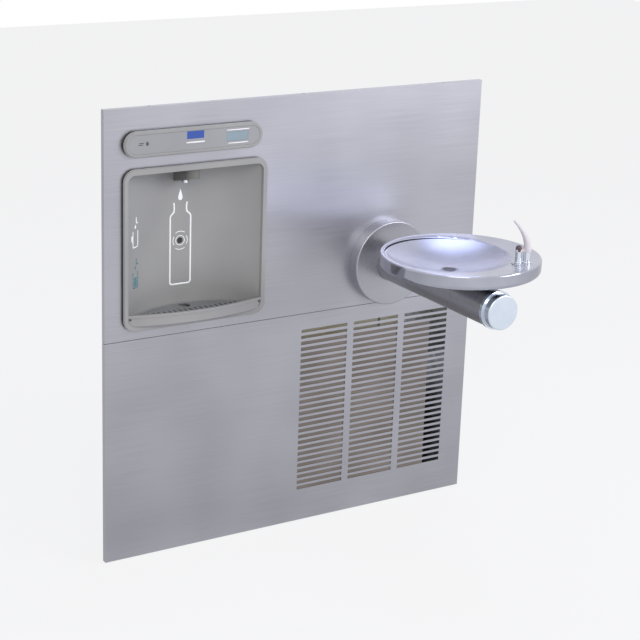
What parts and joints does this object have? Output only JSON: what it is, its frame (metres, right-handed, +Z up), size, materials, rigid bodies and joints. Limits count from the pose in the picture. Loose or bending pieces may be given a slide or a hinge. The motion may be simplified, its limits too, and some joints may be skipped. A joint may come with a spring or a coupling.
{
  "type": "bottle filling station",
  "caption": "In-wall bottle filling station with stainless panels, a moulded bottle bay, a round drinking fountain on an arm and a chiller behind a slotted grille.",
  "frame": {"origin": "middle of the four wall bolts, in the plane of the finished wall", "axes": "+X to the right along the wall, +Y into the wall, +Z up; the panels face -Y"},
  "size_m": [0.9144, 0.701, 0.9652],
  "materials": {
    "satin_steel": "satin brushed stainless steel",
    "polished_steel": "satin stainless steel with a polished rim",
    "chrome": "polished chrome plate",
    "bare_steel": "turned stainless steel",
    "zinc_steel": "galvanised sheet steel",
    "grey_plastic": "fine-textured moulded ABS",
    "dark_plastic": "satin moulded ABS",
    "black_plastic": "moulded ABS",
    "black_gloss": "clear dark acrylic",
    "silver_film": "printed polycarbonate film",
    "display_glass": "grey-blue liquid crystal display",
    "circuit_board": "green glass epoxy board",
    "white_plastic": "white polypropylene",
    "white_rubber": "white silicone rubber",
    "black_rubber": "black neoprene",
    "brass": "machined brass",
    "copper": "drawn copper tube",
    "black_enamel": "black enamel",
    "aluminium_fins": "pressed aluminium",
    "foam": "sprayed polyurethane foam",
    "blue_plastic": "blue moulded polypropylene",
    "blue_tube": "blue polyethylene tube",
    "fibre_mat": "stiff polyester fibre mat"
  },
  "bodies": {
    "frame": {"upper_panel": "satin_steel", "lower_panel": "satin_steel", "screws": "zinc_steel", "frame_rails": "zinc_steel", "frame_posts": "zinc_steel", "bay_shell": "grey_plastic", "bay_clamps": "zinc_steel", "drip_tray": "grey_plastic", "drain_grid": "dark_plastic", "nozzle_housing": "dark_plastic", "fill_nozzle": "chrome", "sensor_window": "black_gloss", "sensor_module": "black_plastic", "control_bezel": "grey_plastic", "face_plate": "silver_film", "display_window": "display_glass", "control_housing": "black_plastic", "control_board": "circuit_board", "arm_tube": "satin_steel", "wall_cover": "satin_steel", "arm_plate": "zinc_steel", "arm_bolts": "zinc_steel", "end_ring": "chrome", "button_spring": "bare_steel", "fountain_valve": "brass", "valve_carrier": "black_plastic", "bowl": "polished_steel", "bowl_under_pan": "satin_steel", "bowl_saddle": "satin_steel", "strainer": "bare_steel", "bowl_drain": "black_plastic", "bubbler_base": "chrome", "bubbler_spout": "white_rubber", "bubbler_nozzle": "chrome", "bubbler_nut": "brass", "waste_pipe": "white_plastic", "tray_hose": "white_plastic", "base_pan": "zinc_steel", "side_plates": "zinc_steel", "tank_shelf": "zinc_steel", "tank": "foam", "compressor": "black_enamel", "compressor_feet": "black_rubber", "condenser": "aluminium_fins", "fan_shroud": "black_plastic", "fan_motor": "black_enamel", "drier": "copper", "refrigerant_lines": "copper", "thermostat": "white_plastic", "filter_head": "blue_plastic", "solenoid_valve": "brass", "water_lines": "blue_tube", "gaskets": "black_rubber", "dust_screen": "fibre_mat"},
    "button": {"push_button": "chrome", "valve_stem": "bare_steel"},
    "fan": {"fan_blade": "aluminium_fins"},
    "plunger": {"solenoid_plunger": "bare_steel"},
    "cartridge": {"filter_cartridge": "white_plastic"},
    "knob": {"thermostat_knob": "black_plastic"}
  },
  "joints": [
    {"name": "button_press", "type": "slide", "parent": "frame", "child": "button", "axis": [0, 1, 0], "range_m": [0, 0.004], "stiffness_N_per_m": 1500, "springref_m": -0.002, "deforming": ["button_spring"]},
    {"name": "fan_spin", "type": "hinge", "parent": "frame", "child": "fan", "pos_m": [0.1575, 0.078, -0.3313], "axis": [0, -1, 0], "continuous": true},
    {"name": "plunger_lift", "type": "slide", "parent": "frame", "child": "plunger", "axis": [0, 0, 1], "range_m": [0, 0.003], "stiffness_N_per_m": 300, "springref_m": -0.002},
    {"name": "cartridge_turn", "type": "hinge", "parent": "frame", "child": "cartridge", "pos_m": [-0.33, 0.062, -0.181], "axis": [0, 0, 1], "range_deg": [0, 90]},
    {"name": "knob_turn", "type": "hinge", "parent": "frame", "child": "knob", "pos_m": [-0.05, 0.22, -0.1212], "axis": [-1, 0, 0], "range_deg": [0, 270]}
  ]
}
